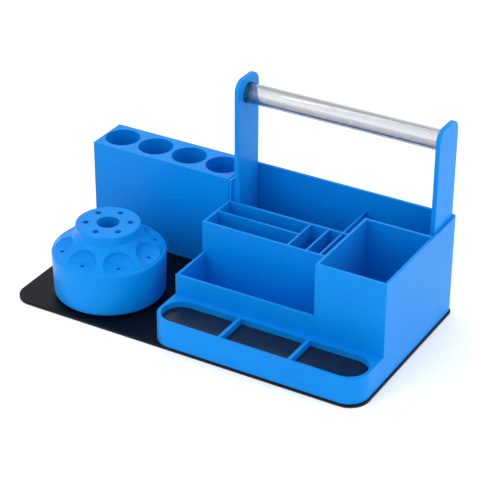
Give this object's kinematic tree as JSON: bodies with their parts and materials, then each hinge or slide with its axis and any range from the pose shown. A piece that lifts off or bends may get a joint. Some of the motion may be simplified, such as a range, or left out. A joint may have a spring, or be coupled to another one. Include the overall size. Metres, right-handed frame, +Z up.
{
  "type": "hobby workstation organizer",
  "caption": "Desktop caddy on a flat base plate: stepped open compartments, a magnetic parts tray, a tube rack, a turning driver turret and a carrying handle.",
  "frame": {"origin": "centre of the base plate's length and depth, at the underside of the anti-slip mat", "axes": "+X along the base plate's length towards the caddy, -Y towards the front with the parts tray, +Z up"},
  "size_m": [0.3, 0.156, 0.1654],
  "materials": {
    "blue_plastic": "satin",
    "black_steel": "satin black powder coat",
    "rubber": "matt",
    "liner": "semi-gloss",
    "magnet": "nickel plated",
    "clear_acrylic": "polished clear",
    "screw_steel": "zinc plated",
    "brass": "plain"
  },
  "bodies": {
    "base": {"base_plate": "black_steel", "anti_slip_mat": "rubber", "caddy_body": "blue_plastic", "caddy_screws": "screw_steel", "tray_liner_left": "liner", "tray_liner_middle": "liner", "tray_liner_right": "liner", "tray_magnets": "magnet", "upright_left": "blue_plastic", "upright_right": "blue_plastic", "grip_rod": "clear_acrylic", "turret_disc": "black_steel", "turret_disc_screws": "screw_steel", "turret_spindle": "screw_steel", "turret_washer": "screw_steel", "turret_screw": "screw_steel"},
    "tube_rack": {"tube_block": "blue_plastic", "tube_block_cover": "blue_plastic", "tube_block_screws": "screw_steel", "tube_block_magnets": "magnet"},
    "turret": {"turret_shell": "blue_plastic", "turret_bush": "brass", "turret_cover": "blue_plastic", "turret_cover_screws": "screw_steel"}
  },
  "joints": [
    {"name": "turret_spin", "type": "hinge", "parent": "base", "child": "turret", "pos_m": [-0.0904, -0.0298, 0.03], "axis": [0, 0, 1], "continuous": true},
    {"name": "tube_rack_lift", "type": "slide", "parent": "base", "child": "tube_rack", "axis": [0, 0, 1], "range_m": [0, 0.095]}
  ]
}
